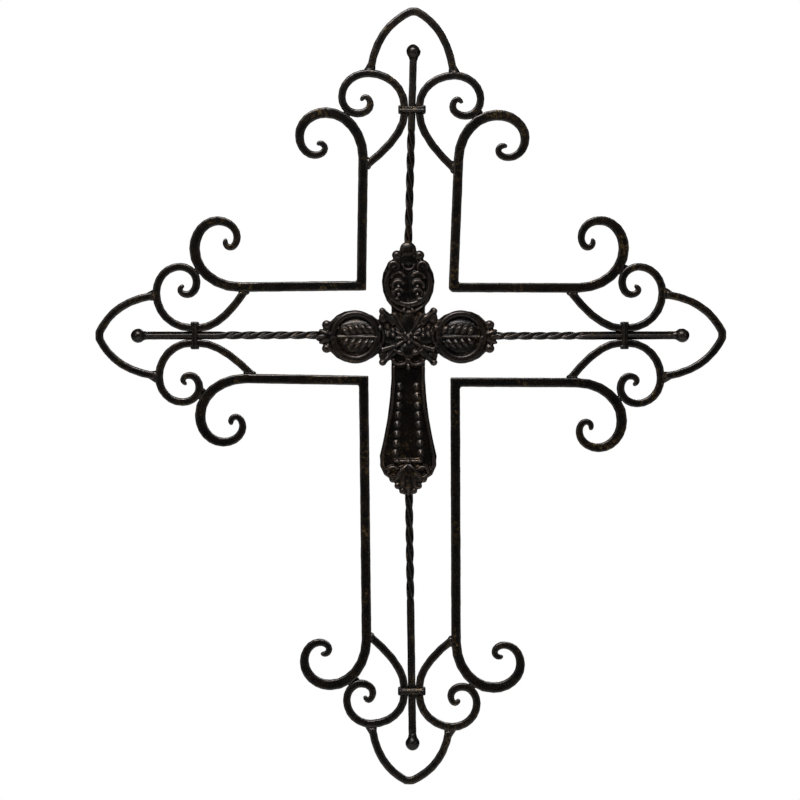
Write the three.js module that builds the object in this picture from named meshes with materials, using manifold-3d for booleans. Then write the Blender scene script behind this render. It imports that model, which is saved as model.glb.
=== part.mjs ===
// Wrought iron cross for a wall: square bar forged into scrolls round a cast medallion.
// Millimetres, +Z up, and the cross faces -Y. All bars are centred on the plane y = 0.
// The origin is the hanging seat, the small flat under the crown of the top arch.

import * as THREE from "three";
import { mergeVertices } from "three/addons/utils/BufferGeometryUtils.js";
import Module from "manifold-3d";

const wasm = await Module();
wasm.setup();

// Bar stock, square in section
const FRAME_BAR = 10;
const SCROLL_BAR = 8;
const ROD_BAR = 8;

// Clearance between pieces that rest against each other
const GAP = 0.3;

// Arms: the distance of each one's collar from the crossing's centre, and of the arch's outer face
// beyond the collar, at its apex
const TOP_ARM = 249;
const RIGHT_ARM = 237;
const BOTTOM_ARM = 390.5;
const LEFT_ARM = 235.5;
const TOP_ARCH = 112;
const RIGHT_ARCH = 111.5;
const BOTTOM_ARCH = 102.4;
const LEFT_ARCH = 109.1;

// Clear width between a collared C-scroll's face and the frame bar, distance of the C-scroll's root
// inward of the collar, and distance of an arch's outer face at its foot beyond the C-scroll's crown
const CHANNEL = 42;
const ROOT_REACH = 64;
const ARCH_TOE = 2;

// The four arms, clockwise from the top. Lengths run outward from the crossing's centre, and offsets run
// across the arm, positive towards its clockwise side. Each arm has a side before its rod and one after.
//   turn          degrees clockwise from the top
//   collar        distance of the collar
//   ball          distance of the ball's centre beyond the collar
//   rodOffset     offset of the rod's axis at its inner end and at the ball
//   archReach     distance of the arch's outer face beyond the collar, at its apex
//   archOffset    offset of the arch's apex
//   twist         length of the rod's twisted stretch
//   quarters      quarter turns in that stretch
// Each side's row tells how the smith's hand varied it:
//   channel       how much wider its channel is
//   splay         how much wider again the channel is at the crossing
//   root          how much further inward the C-scroll's root is
//   stretch       width of the C-scroll against the pattern
//   rise          how far the C-scroll stands outward of the pattern
//   frameStretch  width of the frame's scroll against the pattern
//   toe           how much further out the arch's foot is
const ARMS = [
  {
    name: "top", turn: 0, collar: TOP_ARM, ball: 64, rodOffset: [-1.5, 5],
    archReach: TOP_ARCH, archOffset: 5.4, twist: 106, quarters: 5,
    sides: [
      {
        name: "left", channel: 2.3, splay: 2, root: 1, stretch: 1.03, rise: 0.6,
        frameStretch: 0.98, toe: -0.2,
      },
      {
        name: "right", channel: -0.1, splay: -5.6, root: 5.5, stretch: 1.01, rise: -2,
        frameStretch: 1.02, toe: 0.7,
      },
    ],
  },
  {
    name: "right", turn: 90, collar: RIGHT_ARM, ball: 63.5, rodOffset: [0, -0.8],
    archReach: RIGHT_ARCH, archOffset: -1.2, twist: 95, quarters: 6,
    sides: [
      {
        name: "upper", channel: 1.1, splay: 0.4, root: -0.5, stretch: 1.01, rise: 2.2,
        frameStretch: 1.03, toe: 0.3,
      },
      {
        name: "lower", channel: 0.5, splay: -0.5, root: -0.2, stretch: 1, rise: 0.5,
        frameStretch: 1, toe: 0.6,
      },
    ],
  },
  {
    name: "bottom", turn: 180, collar: BOTTOM_ARM, ball: 57.5, rodOffset: [0.4, -3.9],
    archReach: BOTTOM_ARCH, archOffset: -0.2, twist: 119, quarters: 6,
    sides: [
      {
        name: "right", channel: -2.6, splay: -1, root: -3.5, stretch: 0.955, rise: 0,
        frameStretch: 0.99, toe: -1.6,
      },
      {
        name: "left", channel: -1.5, splay: 3.2, root: 0.2, stretch: 0.955, rise: -3.4,
        frameStretch: 0.96, toe: 1.1,
      },
    ],
  },
  {
    name: "left", turn: 270, collar: LEFT_ARM, ball: 62.5, rodOffset: [1, 0.4],
    archReach: LEFT_ARCH, archOffset: 0.5, twist: 90, quarters: 5,
    sides: [
      {
        name: "lower", channel: -4, splay: 2.3, root: 3.3, stretch: 0.98, rise: 0,
        frameStretch: 0.98, toe: 0.9,
      },
      {
        name: "upper", channel: 1.9, splay: 1.6, root: -5.1, stretch: 1.01, rise: 3,
        frameStretch: 1.015, toe: -1.3,
      },
    ],
  },
];

// Corners of the frame, each between an arm and the next one clockwise. One is bent from a single bar
// and keeps a blunt outer corner, the others are butted and welded square.
const CORNERS = [
  { name: "upper_right", blunt: 3.5 },
  { name: "lower_right", blunt: 0 },
  { name: "lower_left", blunt: 0 },
  { name: "upper_left", blunt: 0 },
];

// Pattern of a C-scroll's outer face: the places where it turns to run across or along its arm, away
// from the collared face and outward of the collar, with the bar's width there as a share of the stock.
const SCROLL_TURNS = [
  { away: 42.2, out: 43.6, share: 1 },
  { away: 74.6, out: 13.7, share: 0.98 },
  { away: 54, out: -9, share: 1 },
  { away: 36.6, out: 4.7, share: 0.9 },
  { away: 45.4, out: 16.2, share: 0.66 },
  { away: 51.6, out: 9.4, share: 0.45 },
];
const ROOT_BEND = 31;

// Pattern of the scroll at the end of each frame leg, away from the leg's face and outward of its crown
const FRAME_TURNS = [
  { away: 46.6, out: 0, share: 1.08 },
  { away: 81.4, out: -30.8, share: 0.92 },
  { away: 59.4, out: -56, share: 0.72 },
  { away: 44.7, out: -45, share: 0.6 },
  { away: 52.8, out: -36.5, share: 0.56 },
  { away: 57.8, out: -40.7, share: 0.38 },
];
const FRAME_SHOULDER = 55;

// Facets in each quarter turn, fewer in the tight ones at the tip, and in the stem of a C-scroll
const TURN_FACETS = [6, 6, 5, 4, 4, 3];
const STEM_FACETS = 5;
const CONTACT_SAMPLES = 40;

// Arch of plain bar over each arm's end. Its handles are shares of the way from foot to apex.
const ARCH_FLAT = 9;
const ARCH_LEG = [0.13, 0.59];
const ARCH_SHOULDER = [0.45, 0.155];
const ARCH_FACETS = 7;

// Rod, ball and collar. A rod laps behind the medallion and its twist starts just clear of it.
const ROD_LAP = 25;
const TWIST_LEAD = 1;
const TWIST_FACETS = 3;
const BALL_DIAMETER = 16;
const BALL_RINGS = 6;
const BALL_SIDES = 12;
const COLLAR_HEIGHT = 9;
const COLLAR_STRAP = 2.6;
const COLLAR_EDGE = 1.6;
const COLLAR_CORNER = 3;

// Medallion: a plate with a flat back, heights measured forward from it. It sits a little off the rods'
// crossing, to the left and low.
const MEDALLION_SHIFT = { x: -0.9, z: -0.8 };
const PLATE = 3;
const RIM_HEIGHT = 6.5;
const RIM_WALL = 3.9;
const LEAF_HEIGHT = 5.6;
const BEAD_HEIGHT = 6;
const RIB_HEIGHT = 8;
const BUTTON_HEIGHT = 9.5;
const SCALLOP_HEIGHT = 4.5;

// Lobes of the medallion: an egg, blunt end outward, about a centre on its arm
const LOBE_CENTRE = 60.5;
const LOBE_HALF_WIDTH = 29;
const LOBE_INWARD = 36.3;
const LOBE_OUTWARD = 30.3;
const LOBE_RIM = 5.5;
const LOBE_RIM_CREST = 1.8;
const LOBE_SIDES = 20;

// Leaf on each lobe's floor: its midrib, and leaflets that keep clear of the midrib's two ends
const MIDRIB = { inset: 2, startHalf: 1.8, endHalf: 1.4 };
const LEAFLET = { stemClear: 6, tipClear: 3, offset: 2, width: 5.5 };

// Trefoil at each lobe's end: wings that stand proud of the rim, and a knob whose centre stands off it
const TREFOIL_WING = { proud: 1.1, offset: 11.8, radius: 5.5 };
const LOBES = [
  { turn: 0, knobOff: 4.2, knob: 8.2, leaflets: 3, slant: 0, leaflet: 13 },
  { turn: 90, knobOff: 1, knob: 6.2, leaflets: 5, slant: 0.75, leaflet: 14 },
  { turn: 270, knobOff: 5.6, knob: 6.2, leaflets: 5, slant: 0.75, leaflet: 14 },
];

// Flower at the crossing, with necks to the lobes and a diagonal rib to a knob in each corner
const BODY_HALF = 22;
const NECK = { half: 18.5, reach: 33 };
const BUTTON_RADIUS = 6;
const CORNER_KNOB = { offset: 28, radius: 4.4, sides: 8 };
const FLOWER_RIB = { startHalf: 2, endHalf: 4 };
const PETAL = { inner: 5, outer: 25, width: 15 };

// Shaft below the crossing, its half-widths going down, and the palmette that ends it
const SHAFT_LAP = 9;
const SHAFT_TOP = { half: 18, at: NECK.reach - SHAFT_LAP };
const SHAFT_FLARE = { half: 18, at: 80 };
const SHAFT_WIDEST = { half: 31.3, at: 131 };
const SHAFT_TURN = { half: 31.3, at: 144 };
const SHAFT_FOOT = { half: 20, at: 153 };
const SHAFT_END = { half: 0, at: 174.4 };
const SHAFT_FACETS = 5;
const EDGE_RIB = { inset: 3, half: 2.4, facets: 2 };
const BEAD_ROWS = { topClear: 31, footClear: 3, count: 8, offset: [9.5, 13.8], radius: 2.7 };
const CROSSBAR = { half: 16, at: SHAFT_WIDEST.at + 6.5, radius: 2.2 };
const PALMETTE = { from: CROSSBAR.at + 2.5, flutes: 5, spread: 0.62, length: 27, width: 6.5 };

// Scallops down each side of the palmette, by their share of the way from the shaft's foot to its end
const SCALLOPS = [
  { share: 0.25, inset: 2.6, radius: 4.2 },
  { share: 0.55, inset: 1.5, radius: 4.4 },
  { share: 0.83, inset: 1, radius: 4.4 },
];

const iron = new THREE.MeshStandardMaterial({
  color: 0x2b2420, roughness: 0.5, metalness: 0.75, flatShading: true,
});

const lerp = THREE.MathUtils.lerp;
const radians = THREE.MathUtils.degToRad;

// How far the medallion reaches along an arm
function medallionReach(arm) {
  const lobe = LOBES.find(({ turn }) => turn === arm.turn);
  return lobe ? LOBE_CENTRE + LOBE_OUTWARD + lobe.knobOff + lobe.knob : SHAFT_END.at;
}

// The rod's axis across its arm, at a distance along it
function rodAxis(arm, along) {
  const inner = medallionReach(arm) - ROD_LAP;
  const outer = arm.collar + arm.ball;
  return lerp(arm.rodOffset[0], arm.rodOffset[1], (along - inner) / (outer - inner));
}

// The face of the collared C-scroll next to the rod, across its arm on its own side
function collaredFace(arm, sign) {
  return sign * rodAxis(arm, arm.collar) + ROD_BAR / 2 + GAP;
}

// Carries a face line on through quarter ellipses, which run along the arm at their start and across it
// at their end, or the other way about, in turn
function quarterTurns(line, turns, facets) {
  turns.forEach((turn, index) => {
    const from = line.at(-1);
    const startsAlong = index % 2 === 0;
    for (let step = 1; step <= facets[index]; step++) {
      const angle = (step / facets[index]) * (Math.PI / 2);
      const lead = Math.sin(angle);
      const lag = 1 - Math.cos(angle);
      line.push({
        x: lerp(from.x, turn.x, startsAlong ? lag : lead),
        z: lerp(from.z, turn.z, startsAlong ? lead : lag),
        width: lerp(from.width, turn.width, step / facets[index]),
      });
    }
  });
  return line;
}

// The C-scroll's turns on the arm's positive side, from where it leaves the collar
function scrollTurns(arm, side, sign, facets) {
  const face = collaredFace(arm, sign);
  const start = { x: face, z: arm.collar + COLLAR_HEIGHT / 2, width: SCROLL_BAR };
  const turns = SCROLL_TURNS.map(({ away, out, share }) => ({
    x: face + away * side.stretch,
    z: arm.collar + side.rise + out,
    width: share * SCROLL_BAR,
  }));
  return quarterTurns([start], turns, facets);
}

// The frame leg's face towards the channel, where its shoulder begins
function legFace(arm, side, sign) {
  return collaredFace(arm, sign) + CHANNEL + side.channel;
}

// How far out the crown of a frame scroll stands when its shoulder rests against the C-scroll
function frameCrown(arm, side, sign) {
  const leg = legFace(arm, side, sign);
  const half = FRAME_TURNS[0].away * side.frameStretch;
  const fine = TURN_FACETS.map(() => CONTACT_SAMPLES);
  const heights = scrollTurns(arm, side, sign, fine)
    .filter(({ x }) => x > leg && x < leg + half)
    .map(({ x, z }) => {
      const share = (leg + half - x) / (half + GAP);
      return z + FRAME_SHOULDER - (FRAME_SHOULDER + GAP) * Math.sqrt(1 - share * share);
    });
  return Math.min(...heights);
}

// Where the faces of two frame legs meet at the crossing, in the frame of the arm on the given side
function elbowOf(arm, sign) {
  const neighbour = ARMS.at((ARMS.indexOf(arm) + sign) % ARMS.length);
  const [side, facing] = sign < 0 ? [arm.sides[0], neighbour.sides[1]] : [arm.sides[1], neighbour.sides[0]];
  return {
    x: legFace(arm, side, sign) + side.splay,
    z: legFace(neighbour, facing, -sign) + facing.splay,
    width: FRAME_BAR,
  };
}

// Where a frame leg's face ends and its shoulder begins
function shoulderOf(arm, side, sign) {
  return {
    x: legFace(arm, side, sign),
    z: frameCrown(arm, side, sign) - FRAME_SHOULDER,
    width: FRAME_BAR,
  };
}

// Outer face of a C-scroll on the arm's positive side. Its root is cut to the frame leg's face, and it
// runs straight through the collar.
function scrollLine(arm, side, sign) {
  const elbow = elbowOf(arm, sign);
  const shoulder = shoulderOf(arm, side, sign);
  const rootAlong = arm.collar - ROOT_REACH - side.root;
  const legShare = (rootAlong - elbow.z) / (shoulder.z - elbow.z);
  const face = collaredFace(arm, sign);
  const root = new THREE.Vector2(lerp(elbow.x, shoulder.x, legShare) - GAP, rootAlong);
  const bend = new THREE.Vector2(face, arm.collar - ROOT_BEND);
  const collared = new THREE.Vector2(face, arm.collar - COLLAR_HEIGHT / 2);
  const stem = new THREE.QuadraticBezierCurve(root, bend, collared)
    .getPoints(STEM_FACETS)
    .map((point) => ({ x: point.x, z: point.y, width: SCROLL_BAR }));
  stem[0].cut = new THREE.Vector2(shoulder.x - elbow.x, shoulder.z - elbow.z).normalize();
  return [...stem, ...scrollTurns(arm, side, sign, TURN_FACETS)];
}

// Face of a frame leg towards the channel, from its shoulder to its scroll's tip
function legLine(arm, side, sign) {
  const shoulder = shoulderOf(arm, side, sign);
  const turns = FRAME_TURNS.map(({ away, out, share }) => ({
    x: shoulder.x + away * side.frameStretch,
    z: shoulder.z + FRAME_SHOULDER + out,
    width: share * FRAME_BAR,
  }));
  return quarterTurns([shoulder], turns, TURN_FACETS);
}

// Puts a line drawn on an arm's positive side on its own side, in the order that keeps the bar's inner
// face to the right of the line
function onSide(line, sign) {
  const mirrored = (cut) => cut && new THREE.Vector2(sign * cut.x, cut.y);
  const placed = line.map((point) => ({ ...point, x: sign * point.x, cut: mirrored(point.cut) }));
  return sign < 0 ? placed.reverse() : placed;
}

// Turns a line from its arm's frame into the whole cross's
function onArm(line, arm) {
  const angle = radians(arm.turn);
  return line.map((point) => ({
    ...point,
    x: point.x * Math.cos(angle) + point.z * Math.sin(angle),
    z: point.z * Math.cos(angle) - point.x * Math.sin(angle),
  }));
}

// The step from a bar's outer face to its inner one: square to the line, longer where the line turns a
// corner, or along a given direction where the end is cut aslant
function widthStep(line, index) {
  const rightOf = (from, to) => new THREE.Vector2(to.z - from.z, from.x - to.x).normalize();
  const last = line.length - 1;
  const arriving = rightOf(line[Math.max(index, 1) - 1], line[Math.max(index, 1)]);
  const leaving = rightOf(line[Math.min(index, last - 1)], line[Math.min(index, last - 1) + 1]);
  const direction = line[index].cut?.clone() ?? arriving.clone().add(leaving).normalize();
  return direction.multiplyScalar(line[index].width / direction.dot(arriving));
}

// A bar whose outer face follows a line in the cross's plane
function barGeometry(line, depth) {
  const steps = line.length - 1;
  const geometry = new THREE.BoxGeometry(1, depth, 1, 1, 1, steps);
  const position = geometry.attributes.position;
  for (let index = 0; index < position.count; index++) {
    const station = Math.round((position.getZ(index) + 0.5) * steps);
    const across = widthStep(line, station).multiplyScalar(position.getX(index) + 0.5);
    position.setX(index, line[station].x + across.x);
    position.setZ(index, line[station].z + across.y);
  }
  geometry.computeVertexNormals();
  return geometry;
}

// Frame angle round one corner, with a scroll at each end
function frameAngle(corner, arm, next) {
  const elbow = elbowOf(arm, 1);
  const blunted = [
    { ...elbow, x: elbow.x + corner.blunt },
    { ...elbow, z: elbow.z + corner.blunt },
  ];
  const line = [
    ...onArm(onSide(legLine(next, next.sides[0], -1), -1), next),
    ...onArm(corner.blunt > 0 ? blunted : [elbow], arm),
    ...onArm(legLine(arm, arm.sides[1], 1), arm),
  ];
  return barGeometry(line, FRAME_BAR);
}

// Arch from the crown of one C-scroll to the crown of the other
function archGeometry(arm) {
  const apexAlong = arm.collar + arm.archReach;
  const halves = [-1, 1].map((sign, index) => {
    const side = arm.sides[index];
    const crown = SCROLL_TURNS[0];
    const foot = new THREE.Vector2(
      sign * (collaredFace(arm, sign) + crown.away * side.stretch + ARCH_TOE + side.toe),
      arm.collar + side.rise + crown.out + GAP,
    );
    const apex = new THREE.Vector2(arm.archOffset + sign * ARCH_FLAT / 2, apexAlong);
    const leg = new THREE.Vector2(lerp(foot.x, apex.x, ARCH_LEG[0]), lerp(foot.y, apex.y, ARCH_LEG[1]));
    const shoulder = new THREE.Vector2(
      lerp(apex.x, foot.x, ARCH_SHOULDER[0]),
      lerp(apex.y, foot.y, ARCH_SHOULDER[1]),
    );
    const line = new THREE.CubicBezierCurve(foot, leg, shoulder, apex)
      .getPoints(ARCH_FACETS)
      .map((point) => ({ x: point.x, z: point.y, width: SCROLL_BAR }));
    line[0].cut = new THREE.Vector2(1, 0);
    return line;
  });
  return barGeometry([...halves[0], ...halves[1].reverse()], SCROLL_BAR);
}

// Rod of square bar: plain behind the medallion, twisted beyond it, then plain to the ball
function rodGeometry(arm) {
  const reach = medallionReach(arm);
  const seat = Math.sqrt((BALL_DIAMETER / 2) ** 2 - ROD_BAR ** 2 / 2);
  const twistSteps = arm.quarters * TWIST_FACETS;
  const stations = [{ along: reach - ROD_LAP, angle: 0 }];
  for (let step = 0; step <= twistSteps; step++) {
    stations.push({
      along: reach + TWIST_LEAD + (arm.twist * step) / twistSteps,
      angle: (-Math.PI / 2) * (step / TWIST_FACETS),
    });
  }
  stations.push({ along: arm.collar + arm.ball - seat - GAP, angle: stations.at(-1).angle });
  const geometry = new THREE.BoxGeometry(ROD_BAR, ROD_BAR, 1, 1, 1, stations.length - 1);
  const position = geometry.attributes.position;
  for (let index = 0; index < position.count; index++) {
    const { along, angle } = stations[Math.round((position.getZ(index) + 0.5) * (stations.length - 1))];
    const corner = new THREE.Vector2(position.getX(index), position.getY(index));
    corner.rotateAround(new THREE.Vector2(), angle);
    position.setXYZ(index, rodAxis(arm, along) + corner.x, corner.y, along);
  }
  geometry.computeVertexNormals();
  return geometry;
}

// Ball with a flat where the rod's end meets it
function ballGeometry(arm) {
  const radius = BALL_DIAMETER / 2;
  const startAngle = Math.asin((ROD_BAR / Math.SQRT2) / radius);
  const profile = [new THREE.Vector2(0, -radius * Math.cos(startAngle))];
  for (let ring = 0; ring < BALL_RINGS; ring++) {
    const angle = lerp(startAngle, Math.PI, ring / BALL_RINGS);
    profile.push(new THREE.Vector2(radius * Math.sin(angle), -radius * Math.cos(angle)));
  }
  profile.push(new THREE.Vector2(0, radius));
  const along = arm.collar + arm.ball;
  return new THREE.LatheGeometry(profile, BALL_SIDES)
    .rotateX(Math.PI / 2)
    .translate(rodAxis(arm, along), 0, along);
}

// A closed mesh as a solid that can be joined and cut
function solid(geometry) {
  const plain = geometry.clone();
  plain.deleteAttribute("normal");
  plain.deleteAttribute("uv");
  const merged = mergeVertices(plain, 1e-4);
  return new wasm.Manifold(new wasm.Mesh({
    numProp: 3,
    vertProperties: Float32Array.from(merged.attributes.position.array),
    triVerts: Uint32Array.from(merged.index.array),
  }));
}

function meshOf(shape) {
  const mesh = shape.getMesh();
  const geometry = new THREE.BufferGeometry();
  geometry.setAttribute("position", new THREE.BufferAttribute(mesh.vertProperties, 3));
  geometry.setIndex(new THREE.BufferAttribute(mesh.triVerts, 1));
  geometry.computeVertexNormals();
  return geometry;
}

// Collar: a strap with softened edges closed round the rod and both C-scrolls
function collarGeometry(arm) {
  const windowHalf = ROD_BAR / 2 + GAP + SCROLL_BAR + GAP;
  const windowDepth = Math.max(ROD_BAR, SCROLL_BAR) + 2 * GAP;
  const halfWidth = windowHalf + COLLAR_STRAP;
  const halfDepth = windowDepth / 2 + COLLAR_STRAP;
  const outline = new THREE.Shape();
  [[1, 1], [-1, 1], [-1, -1], [1, -1]].forEach(([x, y], corner) => {
    const startAngle = (corner * Math.PI) / 2;
    const centre = new THREE.Vector2(x * (halfWidth - COLLAR_CORNER), y * (halfDepth - COLLAR_CORNER));
    outline.absarc(centre.x, centre.y, COLLAR_CORNER, startAngle, startAngle + Math.PI / 2);
  });
  const strap = new THREE.ExtrudeGeometry(outline, {
    depth: COLLAR_HEIGHT - 2 * COLLAR_EDGE,
    curveSegments: 2,
    bevelSize: COLLAR_EDGE,
    bevelOffset: -COLLAR_EDGE,
    bevelThickness: COLLAR_EDGE,
    bevelSegments: 1,
  }).translate(0, 0, COLLAR_EDGE - COLLAR_HEIGHT / 2);
  const window = new THREE.BoxGeometry(2 * windowHalf, windowDepth, 2 * COLLAR_HEIGHT);
  return meshOf(solid(strap).subtract(solid(window)))
    .translate(rodAxis(arm, arm.collar), 0, arm.collar);
}

// Low dome standing on the plate
function dome(x, y, radius, height) {
  const base = PLATE / 2;
  return new THREE.OctahedronGeometry(1, 1).scale(radius, radius, height - base).translate(x, y, base);
}

// Long ridge with a point at each end, standing on the plate
function ridge(from, to, width, height) {
  const base = PLATE / 2;
  const run = to.clone().sub(from);
  const middle = from.clone().add(to).multiplyScalar(0.5);
  return new THREE.OctahedronGeometry(1, 0)
    .scale(run.length() / 2, width / 2, height - base)
    .rotateZ(run.angle())
    .translate(middle.x, middle.y, base);
}

// Long rib with a roof section, its half-widths given at its two ends
function rib(from, to, startHalf, endHalf, height) {
  const base = PLATE / 2;
  const run = to.clone().sub(from);
  const middle = from.clone().add(to).multiplyScalar(0.5);
  const widest = Math.max(startHalf, endHalf);
  return new THREE.CylinderGeometry(endHalf, startHalf, run.length(), 4)
    .scale(1, 1, (height - base) / widest)
    .rotateZ(run.angle() - Math.PI / 2)
    .translate(middle.x, middle.y, base);
}

// Egg-shaped dish with a raised rim, drawn along +Y from the crossing
function lobeDish() {
  const profile = [
    [0, 0],
    [LOBE_HALF_WIDTH, 0],
    [LOBE_HALF_WIDTH, RIM_WALL],
    [LOBE_HALF_WIDTH - LOBE_RIM_CREST, RIM_HEIGHT],
    [LOBE_HALF_WIDTH - LOBE_RIM, PLATE],
    [0, PLATE],
  ].map(([radius, height]) => new THREE.Vector2(radius / LOBE_HALF_WIDTH, height));
  const geometry = new THREE.LatheGeometry(profile, LOBE_SIDES).rotateX(Math.PI / 2);
  const position = geometry.attributes.position;
  for (let index = 0; index < position.count; index++) {
    const y = position.getY(index);
    position.setX(index, position.getX(index) * LOBE_HALF_WIDTH);
    position.setY(index, LOBE_CENTRE + y * (y > 0 ? LOBE_OUTWARD : LOBE_INWARD));
  }
  return geometry;
}

// One lobe with its leaf and its trefoil, turned into place
function lobeShapes({ turn, knobOff, knob, leaflets, slant, leaflet }) {
  const stem = new THREE.Vector2(0, LOBE_CENTRE - LOBE_INWARD + LOBE_RIM + MIDRIB.inset);
  const tip = new THREE.Vector2(0, LOBE_CENTRE + LOBE_OUTWARD - LOBE_RIM);
  const firstLeaflet = stem.y + LEAFLET.stemClear;
  const lastLeaflet = tip.y - LEAFLET.tipClear - leaflet * slant;
  const wingShare = TREFOIL_WING.offset / LOBE_HALF_WIDTH;
  const wingOut = LOBE_CENTRE + LOBE_OUTWARD * Math.sqrt(1 - wingShare ** 2) + TREFOIL_WING.proud;
  const shapes = [
    lobeDish(),
    rib(stem, tip, MIDRIB.startHalf, MIDRIB.endHalf, LEAF_HEIGHT),
    dome(0, LOBE_CENTRE + LOBE_OUTWARD + knobOff, knob, RIM_HEIGHT),
  ];
  for (const sign of [-1, 1]) {
    shapes.push(dome(sign * TREFOIL_WING.offset, wingOut, TREFOIL_WING.radius, RIM_HEIGHT));
    for (let count = 0; count < leaflets; count++) {
      const start = lerp(firstLeaflet, lastLeaflet, count / (leaflets - 1));
      const from = new THREE.Vector2(sign * LEAFLET.offset, start);
      const to = new THREE.Vector2(sign * (LEAFLET.offset + leaflet), start + leaflet * slant);
      shapes.push(ridge(from, to, LEAFLET.width, LEAF_HEIGHT));
    }
  }
  return shapes.map((shape) => shape.rotateZ(-radians(turn)));
}

// Plain plate centred on the crossing
function slab(halfX, halfY) {
  return new THREE.BoxGeometry(2 * halfX, 2 * halfY, PLATE).translate(0, 0, PLATE / 2);
}

// Flower over the crossing: body, necks, four petals, four ribs that end in knobs, and the button
function flowerShapes() {
  const shapes = [
    slab(BODY_HALF, BODY_HALF),
    slab(NECK.half, NECK.reach),
    slab(NECK.reach, NECK.half),
    dome(0, 0, BUTTON_RADIUS, BUTTON_HEIGHT),
  ];
  const corner = new THREE.Vector2(CORNER_KNOB.offset, CORNER_KNOB.offset);
  const petalRoot = new THREE.Vector2(0, PETAL.inner);
  const petalTip = new THREE.Vector2(0, PETAL.outer);
  for (let quarter = 0; quarter < 4; quarter++) {
    const turned = [
      rib(new THREE.Vector2(), corner, FLOWER_RIB.startHalf, FLOWER_RIB.endHalf, RIB_HEIGHT),
      new THREE.CylinderGeometry(CORNER_KNOB.radius, CORNER_KNOB.radius, PLATE, CORNER_KNOB.sides)
        .rotateX(Math.PI / 2)
        .translate(corner.x, corner.y, PLATE / 2),
      dome(corner.x, corner.y, CORNER_KNOB.radius, RIM_HEIGHT),
      ridge(petalRoot, petalTip, PETAL.width, RIM_HEIGHT),
    ];
    shapes.push(...turned.map((shape) => shape.rotateZ((quarter * Math.PI) / 2)));
  }
  return shapes;
}

// A place on the shaft's outline, on one side, drawn downward from the crossing
function shaftPoint({ half, at }, sign) {
  return new THREE.Vector2(sign * half, -at);
}

// The shaft's flaring edge on one side, from its top to its widest
function shaftFlare(sign, inset) {
  const ends = [SHAFT_TOP, SHAFT_FLARE, SHAFT_WIDEST].map(({ half, at }) => ({ half: half - inset, at }));
  return new THREE.QuadraticBezierCurve(...ends.map((end) => shaftPoint(end, sign)));
}

// Shaft with its raised edges, bead rows and palmette
function shaftShapes() {
  const turnIn = (sign) => new THREE.QuadraticBezierCurve(
    shaftPoint(SHAFT_WIDEST, sign), shaftPoint(SHAFT_TURN, sign), shaftPoint(SHAFT_FOOT, sign),
  ).getPoints(SHAFT_FACETS).slice(1);
  const outline = new THREE.Shape([
    ...shaftFlare(-1, 0).getPoints(SHAFT_FACETS),
    ...turnIn(-1),
    shaftPoint(SHAFT_END, 1),
    ...turnIn(1).reverse(),
    ...shaftFlare(1, 0).getPoints(SHAFT_FACETS).reverse(),
  ]);
  const barEnds = [-1, 1].map((sign) => shaftPoint(CROSSBAR, sign));
  const shapes = [
    new THREE.ExtrudeGeometry(outline, { depth: PLATE, bevelEnabled: false }),
    rib(...barEnds, CROSSBAR.radius, CROSSBAR.radius, RIM_HEIGHT),
  ];
  for (const sign of [-1, 1]) {
    const edge = shaftFlare(sign, EDGE_RIB.inset).getPoints(EDGE_RIB.facets);
    edge.slice(1).forEach((point, index) => {
      shapes.push(rib(edge[index], point, EDGE_RIB.half, EDGE_RIB.half, RIM_HEIGHT));
    });
    for (let count = 0; count < BEAD_ROWS.count; count++) {
      const share = count / (BEAD_ROWS.count - 1);
      const offset = lerp(BEAD_ROWS.offset[0], BEAD_ROWS.offset[1], share);
      const at = lerp(SHAFT_TOP.at + BEAD_ROWS.topClear, SHAFT_WIDEST.at - BEAD_ROWS.footClear, share);
      shapes.push(dome(sign * offset, -at, BEAD_ROWS.radius, BEAD_HEIGHT));
    }
    for (const { share, inset, radius } of SCALLOPS) {
      const place = shaftPoint(SHAFT_FOOT, sign).lerp(shaftPoint(SHAFT_END, sign), share);
      shapes.push(dome(place.x, place.y + inset, radius, SCALLOP_HEIGHT));
    }
  }
  for (let flute = 0; flute < PALMETTE.flutes; flute++) {
    const angle = lerp(-PALMETTE.spread, PALMETTE.spread, flute / (PALMETTE.flutes - 1)) - Math.PI / 2;
    const from = new THREE.Vector2(0, -PALMETTE.from);
    const run = new THREE.Vector2(Math.cos(angle), Math.sin(angle)).multiplyScalar(PALMETTE.length);
    shapes.push(ridge(from, from.clone().add(run), PALMETTE.width, LEAF_HEIGHT));
  }
  return shapes;
}

// The medallion is cast in one, so its forms are joined and cut off flat at the back
function medallionGeometry() {
  const shapes = [...LOBES.flatMap(lobeShapes), ...flowerShapes(), ...shaftShapes()];
  const joined = shapes.map(solid).reduce((whole, shape) => whole.add(shape));
  const span = 4 * SHAFT_END.at;
  const behind = new THREE.BoxGeometry(span, span, 4 * PLATE).translate(0, 0, -2 * PLATE);
  return meshOf(joined.subtract(solid(behind)))
    .rotateX(Math.PI / 2)
    .translate(MEDALLION_SHIFT.x, -(ROD_BAR / 2 + GAP), MEDALLION_SHIFT.z);
}

function piece(name, geometry) {
  const mesh = new THREE.Mesh(geometry, iron.clone());
  mesh.name = name;
  return mesh;
}

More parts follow.
